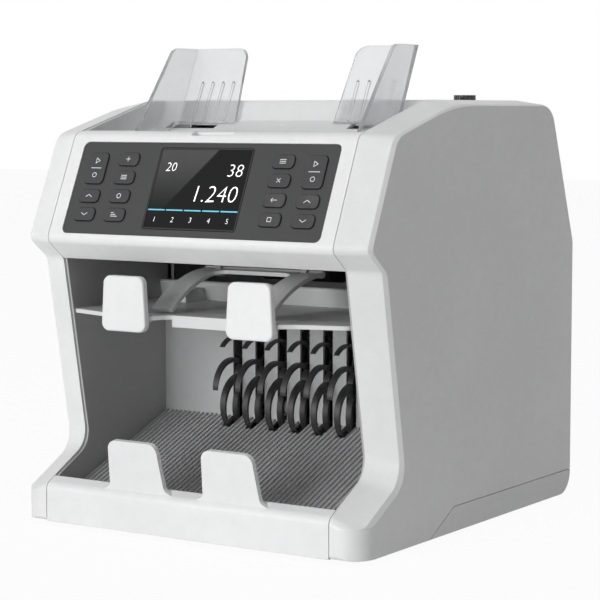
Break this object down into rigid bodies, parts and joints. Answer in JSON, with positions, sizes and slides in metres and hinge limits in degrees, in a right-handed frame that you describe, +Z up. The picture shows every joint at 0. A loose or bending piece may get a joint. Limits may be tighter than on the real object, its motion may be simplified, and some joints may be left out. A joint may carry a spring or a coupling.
{
  "type": "banknote counting machine",
  "caption": "Desktop banknote counting machine with top hopper and sliding guides, slanted control panel with keys and display, reject tray and stacker pocket",
  "frame": {"origin": "on the ground under the middle of the machine", "axes": "+Z up, -Y is the front with the control panel and pockets, +X is to the right of a person facing the front"},
  "size_m": [0.2446, 0.27, 0.291],
  "materials": {
    "white_plastic": "fine matte moulded",
    "base_plastic": "fine matte moulded",
    "insert_plastic": "satin",
    "display_glass": "glossy",
    "key_rubber": "satin",
    "liner_plastic": "fine matte",
    "floor_plastic": "fine matte",
    "tray_plastic": "fine matte",
    "fork_plastic": "satin",
    "hopper_plastic": "fine matte",
    "clear_plastic": "clear polished",
    "black_plastic": "satin",
    "rubber": "matte",
    "roller_rubber": "matte ground",
    "sheet_steel": "zinc plated",
    "bright_steel": "ground",
    "bush_brass": "sintered",
    "circuit_board": "lacquered"
  },
  "bodies": {
    "machine": {"base_tray": "base_plastic", "rubber_feet": "rubber", "housing_screws": "bright_steel", "right_side_panel": "white_plastic", "left_side_panel": "white_plastic", "front_panel": "white_plastic", "control_insert": "insert_plastic", "display_module": "display_glass", "keypad_board": "circuit_board", "front_lip": "white_plastic", "pocket_floor": "floor_plastic", "pocket_liner": "liner_plastic", "reject_tray": "tray_plastic", "stacker_back_plate": "floor_plastic", "hopper_tray": "hopper_plastic", "top_cover": "white_plastic", "left_frame_plate": "sheet_steel", "right_frame_plate": "sheet_steel", "shaft_bushes": "bush_brass", "cross_rods": "bright_steel", "drive_belts": "rubber", "main_motor": "bright_steel", "sensor_bars": "black_plastic", "mainboard": "circuit_board", "power_supply": "sheet_steel", "rear_panel": "white_plastic", "power_inlet": "black_plastic", "port_block": "black_plastic"},
    "feed_roller_set": {"feed_shaft": "bright_steel", "feed_rollers": "rubber"},
    "stacker": {"stacker_shaft": "bright_steel", "stacker_wheels": "black_plastic"},
    "retard_roller": {"retard_roller": "roller_rubber"},
    "drive_roller_shaft": {"drive_roller_shaft": "roller_rubber"},
    "turn_drum": {"turn_drum": "roller_rubber"},
    "motor_pulley": {"motor_pulley": "bright_steel"},
    "reject_gate": {"reject_gate": "black_plastic"},
    "hold_down_fork": {"hold_down_fork": "fork_plastic"},
    "left_reject_stop": {"left_reject_stop": "white_plastic"},
    "right_reject_stop": {"right_reject_stop": "white_plastic"},
    "left_hopper_guide": {"left_hopper_guide": "clear_plastic"},
    "right_hopper_guide": {"right_hopper_guide": "clear_plastic"},
    "guide_pinion": {"guide_pinion": "black_plastic"},
    "rear_door": {"rear_door": "white_plastic"},
    "power_switch": {"power_switch": "black_plastic"},
    "gap_screw": {"gap_screw": "black_plastic"},
    "left_start_key": {"left_start_key": "key_rubber"},
    "left_up_key": {"left_up_key": "key_rubber"},
    "left_down_key": {"left_down_key": "key_rubber"},
    "right_start_key": {"right_start_key": "key_rubber"},
    "right_up_key": {"right_up_key": "key_rubber"},
    "right_down_key": {"right_down_key": "key_rubber"},
    "add_key": {"add_key": "key_rubber"},
    "batch_key": {"batch_key": "key_rubber"},
    "mode_key": {"mode_key": "key_rubber"},
    "report_key": {"report_key": "key_rubber"},
    "menu_key": {"menu_key": "key_rubber"},
    "clear_key": {"clear_key": "key_rubber"},
    "back_key": {"back_key": "key_rubber"},
    "test_key": {"test_key": "key_rubber"}
  },
  "joints": [
    {"name": "turn_drum_spin", "type": "hinge", "parent": "machine", "child": "turn_drum", "pos_m": [0, 0.07355, 0.16201], "axis": [1, 0, 0], "continuous": true},
    {"name": "feed_spin", "type": "hinge", "parent": "machine", "child": "feed_roller_set", "pos_m": [0, -0.06506, 0.20901], "axis": [1, 0, 0], "continuous": true},
    {"name": "drive_spin", "type": "hinge", "parent": "machine", "child": "drive_roller_shaft", "pos_m": [0, -0.01142, 0.18101], "axis": [1, 0, 0], "continuous": true},
    {"name": "stacker_spin", "type": "hinge", "parent": "machine", "child": "stacker", "pos_m": [0, -0.00165, 0.081], "axis": [1, 0, 0], "continuous": true},
    {"name": "motor_spin", "type": "hinge", "parent": "machine", "child": "motor_pulley", "pos_m": [0, 0.05835, 0.065], "axis": [1, 0, 0], "continuous": true},
    {"name": "retard_spin", "type": "hinge", "parent": "machine", "child": "retard_roller", "pos_m": [0, -0.08836, 0.20053], "axis": [1, 0, 0], "continuous": true},
    {"name": "reject_gate_swing", "type": "hinge", "parent": "machine", "child": "reject_gate", "pos_m": [0, 0.02835, 0.134], "axis": [1, 0, 0], "range_deg": [0, 14]},
    {"name": "hold_down_swing", "type": "hinge", "parent": "machine", "child": "hold_down_fork", "pos_m": [0, -0.04565, 0.1537], "axis": [-1, 0, 0], "range_deg": [0, 10]},
    {"name": "left_reject_stop_swing", "type": "hinge", "parent": "machine", "child": "left_reject_stop", "pos_m": [-0.045, -0.11865, 0.12975], "axis": [1, 0, 0], "range_deg": [0, 70], "stiffness_Nm_per_rad": 0.004, "springref_deg": -22.92},
    {"name": "right_reject_stop_swing", "type": "hinge", "parent": "machine", "child": "right_reject_stop", "pos_m": [0.045, -0.11865, 0.12975], "axis": [1, 0, 0], "range_deg": [0, 70], "stiffness_Nm_per_rad": 0.004, "springref_deg": -22.92},
    {"name": "left_guide_slide", "type": "slide", "parent": "machine", "child": "left_hopper_guide", "axis": [1, 0, 0], "range_m": [-0.005, 0.02]},
    {"name": "right_guide_slide", "type": "slide", "parent": "machine", "child": "right_hopper_guide", "axis": [1, 0, 0], "range_m": [-0.02, 0.005]},
    {"name": "guide_pinion_turn", "type": "hinge", "parent": "machine", "child": "guide_pinion", "pos_m": [0, -0.02156, 0.22991], "axis": [0, 0, 1], "range_deg": [-36, 144]},
    {"name": "rear_door_swing", "type": "hinge", "parent": "machine", "child": "rear_door", "pos_m": [0, 0.12785, 0.078], "axis": [-1, 0, 0], "range_deg": [0, 85]},
    {"name": "power_switch_rock", "type": "hinge", "parent": "machine", "child": "power_switch", "pos_m": [-0.04748, 0.13135, 0.037], "axis": [1, 0, 0], "range_deg": [0, 14]},
    {"name": "gap_screw_turn", "type": "hinge", "parent": "machine", "child": "gap_screw", "pos_m": [0.07, 0.07975, 0.258], "axis": [0, 0, 1], "range_deg": [-170, 170]},
    {"name": "left_start_key_press", "type": "slide", "parent": "machine", "child": "left_start_key", "axis": [0, 0.9129, -0.4083], "range_m": [0, 0.0008], "stiffness_N_per_m": 300, "springref_m": -0.0006},
    {"name": "left_up_key_press", "type": "slide", "parent": "machine", "child": "left_up_key", "axis": [0, 0.9129, -0.4083], "range_m": [0, 0.0008], "stiffness_N_per_m": 300, "springref_m": -0.0006},
    {"name": "left_down_key_press", "type": "slide", "parent": "machine", "child": "left_down_key", "axis": [0, 0.9129, -0.4083], "range_m": [0, 0.0008], "stiffness_N_per_m": 300, "springref_m": -0.0006},
    {"name": "right_start_key_press", "type": "slide", "parent": "machine", "child": "right_start_key", "axis": [0, 0.9129, -0.4083], "range_m": [0, 0.0008], "stiffness_N_per_m": 300, "springref_m": -0.0006},
    {"name": "right_up_key_press", "type": "slide", "parent": "machine", "child": "right_up_key", "axis": [0, 0.9129, -0.4083], "range_m": [0, 0.0008], "stiffness_N_per_m": 300, "springref_m": -0.0006},
    {"name": "right_down_key_press", "type": "slide", "parent": "machine", "child": "right_down_key", "axis": [0, 0.9129, -0.4083], "range_m": [0, 0.0008], "stiffness_N_per_m": 300, "springref_m": -0.0006},
    {"name": "add_key_press", "type": "slide", "parent": "machine", "child": "add_key", "axis": [0, 0.9129, -0.4083], "range_m": [0, 0.0008], "stiffness_N_per_m": 300, "springref_m": -0.0006},
    {"name": "batch_key_press", "type": "slide", "parent": "machine", "child": "batch_key", "axis": [0, 0.9129, -0.4083], "range_m": [0, 0.0008], "stiffness_N_per_m": 300, "springref_m": -0.0006},
    {"name": "mode_key_press", "type": "slide", "parent": "machine", "child": "mode_key", "axis": [0, 0.9129, -0.4083], "range_m": [0, 0.0008], "stiffness_N_per_m": 300, "springref_m": -0.0006},
    {"name": "report_key_press", "type": "slide", "parent": "machine", "child": "report_key", "axis": [0, 0.9129, -0.4083], "range_m": [0, 0.0008], "stiffness_N_per_m": 300, "springref_m": -0.0006},
    {"name": "menu_key_press", "type": "slide", "parent": "machine", "child": "menu_key", "axis": [0, 0.9129, -0.4083], "range_m": [0, 0.0008], "stiffness_N_per_m": 300, "springref_m": -0.0006},
    {"name": "clear_key_press", "type": "slide", "parent": "machine", "child": "clear_key", "axis": [0, 0.9129, -0.4083], "range_m": [0, 0.0008], "stiffness_N_per_m": 300, "springref_m": -0.0006},
    {"name": "back_key_press", "type": "slide", "parent": "machine", "child": "back_key", "axis": [0, 0.9129, -0.4083], "range_m": [0, 0.0008], "stiffness_N_per_m": 300, "springref_m": -0.0006},
    {"name": "test_key_press", "type": "slide", "parent": "machine", "child": "test_key", "axis": [0, 0.9129, -0.4083], "range_m": [0, 0.0008], "stiffness_N_per_m": 300, "springref_m": -0.0006}
  ],
  "couplings": [
    {"joint": "feed_spin", "follows": "turn_drum_spin", "ratio": 1},
    {"joint": "drive_spin", "follows": "turn_drum_spin", "ratio": 1},
    {"joint": "stacker_spin", "follows": "turn_drum_spin", "ratio": 0.7},
    {"joint": "motor_spin", "follows": "turn_drum_spin", "ratio": 1.5556},
    {"joint": "retard_spin", "follows": "turn_drum_spin", "ratio": -1.7222},
    {"joint": "right_guide_slide", "follows": "left_guide_slide", "ratio": -1},
    {"joint": "guide_pinion_turn", "follows": "left_guide_slide", "rad_per_m": 125}
  ]
}
